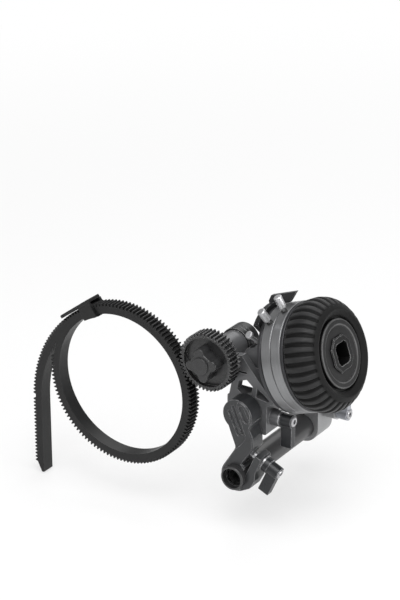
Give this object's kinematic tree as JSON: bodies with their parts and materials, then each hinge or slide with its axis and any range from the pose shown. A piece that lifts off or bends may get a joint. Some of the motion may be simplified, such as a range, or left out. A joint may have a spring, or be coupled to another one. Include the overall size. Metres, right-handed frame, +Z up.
{
  "type": "follow focus unit",
  "caption": "Follow focus unit: a ribbed hand wheel on a tilted axis drives a small gear in mesh with a toothed lens belt, held on a rod by an offset arm and clamp block.",
  "frame": {"origin": "centre of the rear block's back face, on the axis of the 15 mm rod, where the unit meets its cage", "axes": "+Y to the rear along the rod, out of the cage face; +Z up; +X to the right, towards the hand wheel"},
  "size_m": [0.2057, 0.1085, 0.147],
  "materials": {
    "dark_anodised": "satin dark grey anodised",
    "rod_black": "satin black anodised tube",
    "lever_metal": "satin grey anodised",
    "steel": "plain turned",
    "pin_silver": "bright turned",
    "shaft_steel": "ground",
    "pad_brass": "plain",
    "wheel_dark": "dark anodised",
    "ring_silver": "clear anodised, turned",
    "eyelet_black": "matte",
    "grip_rubber": "matte ribbed",
    "gear_plastic": "satin black",
    "belt_plastic": "matte black moulding"
  },
  "bodies": {
    "support": {"rear_block": "dark_anodised", "main_rod": "rod_black", "rear_lever_washer": "steel"},
    "rear_clamp": {"rear_lever": "lever_metal", "rear_lever_screw": "steel"},
    "arm": {"offset_arm": "dark_anodised", "short_rod": "rod_black", "arm_lever_washer": "steel"},
    "arm_clamp": {"arm_lever": "lever_metal", "arm_lever_screw": "steel"},
    "housing": {"gear_housing": "dark_anodised", "back_plate": "dark_anodised", "back_plate_screws": "steel", "stop_fin": "dark_anodised", "stop_fin_screws": "steel", "barrel_cap": "eyelet_black", "gear_shaft_bearings": "shaft_steel", "wheel_shaft_bearings": "shaft_steel", "neck_pin_bush": "steel", "rod_pad": "pad_brass", "block_lever_washer": "steel"},
    "block_clamp": {"block_lever": "lever_metal", "block_lever_screw": "steel"},
    "pull_pin": {"neck_pin": "pin_silver"},
    "drive": {"drive_gear": "gear_plastic", "gear_shaft": "shaft_steel", "shaft_helical_gear": "shaft_steel", "shaft_retainer": "shaft_steel"},
    "knob": {"gear_knob": "gear_plastic", "gear_knob_cap": "gear_plastic"},
    "wheel": {"wheel_hub": "wheel_dark", "wheel_shaft": "shaft_steel", "wheel_helical_gear": "shaft_steel", "hub_nut": "steel", "rubber_grip": "grip_rubber", "face_disc": "wheel_dark", "socket_boss": "wheel_dark", "wheel_band": "wheel_dark"},
    "ring_inner": {"stop_ring_inner": "ring_silver", "stop_pin_inner_eyelet": "eyelet_black"},
    "ring_outer": {"stop_ring_outer": "ring_silver", "stop_pin_outer_eyelet": "eyelet_black"},
    "pin_inner": {"stop_pin_inner": "pin_silver"},
    "pin_outer": {"stop_pin_outer": "pin_silver"},
    "belt": {"gear_belt": "belt_plastic", "buckle_base": "belt_plastic", "buckle_cover": "belt_plastic", "buckle_screws": "steel"}
  },
  "joints": [
    {"name": "arm_slide", "type": "slide", "parent": "support", "child": "arm", "axis": [0, 1, 0], "range_m": [0, 0.038]},
    {"name": "unit_swing", "type": "hinge", "parent": "arm", "child": "housing", "pos_m": [0, -0.0857, 0.037], "axis": [0, 1, 0], "range_deg": [0, 25]},
    {"name": "wheel_turn", "type": "hinge", "parent": "housing", "child": "wheel", "pos_m": [0.01941, -0.0656, 0.06896], "axis": [0.9478, 0, 0.319], "range_deg": [-9, 210]},
    {"name": "gear_turn", "type": "hinge", "parent": "housing", "child": "drive", "pos_m": [-0.018, -0.1017, 0.0704], "axis": [0, 1, 0], "range_deg": [-9, 210]},
    {"name": "lens_ring_turn", "type": "hinge", "parent": "support", "child": "belt", "pos_m": [-0.079, -0.1022, 0.04104], "axis": [0, 1, 0], "range_deg": [-72, 4]},
    {"name": "inner_ring_turn", "type": "hinge", "parent": "wheel", "child": "ring_inner", "pos_m": [0.01941, -0.0656, 0.06896], "axis": [0.9478, 0, 0.319], "range_deg": [-20, 90]},
    {"name": "outer_ring_turn", "type": "hinge", "parent": "wheel", "child": "ring_outer", "pos_m": [0.01941, -0.0656, 0.06896], "axis": [0.9478, 0, 0.319], "range_deg": [-5, 90]},
    {"name": "inner_pin_turn", "type": "hinge", "parent": "ring_inner", "child": "pin_inner", "pos_m": [0.02252, -0.0656, 0.07], "axis": [-0.2705, -0.5299, 0.8038], "range_deg": [0, 180]},
    {"name": "outer_pin_turn", "type": "hinge", "parent": "ring_outer", "child": "pin_outer", "pos_m": [0.02873, -0.0656, 0.07209], "axis": [-0.305, -0.2924, 0.9064], "range_deg": [0, 180]},
    {"name": "pull_pin_slide", "type": "slide", "parent": "housing", "child": "pull_pin", "axis": [-0.2294, -0.6947, 0.6818], "range_m": [0, 0.003], "stiffness_N_per_m": 400, "springref_m": -0.003},
    {"name": "gear_knob_turn", "type": "hinge", "parent": "drive", "child": "knob", "pos_m": [-0.018, -0.1017, 0.0704], "axis": [0, -1, 0], "range_deg": [0, 120]},
    {"name": "rear_lever_turn", "type": "hinge", "parent": "support", "child": "rear_clamp", "pos_m": [0.019, -0.0087, 0.011], "axis": [1, 0, 0], "range_deg": [-60, 60]},
    {"name": "arm_lever_turn", "type": "hinge", "parent": "arm", "child": "arm_clamp", "pos_m": [0.01587, -0.0907, 0.01056], "axis": [0.9135, 0, -0.4067], "range_deg": [-50, 50]},
    {"name": "block_lever_turn", "type": "hinge", "parent": "housing", "child": "block_clamp", "pos_m": [0.0198, -0.0784, 0.035], "axis": [1, 0, 0], "range_deg": [-60, 60]}
  ],
  "couplings": [
    {"joint": "gear_turn", "follows": "wheel_turn", "ratio": 1},
    {"joint": "lens_ring_turn", "follows": "wheel_turn", "ratio": -0.34127}
  ]
}
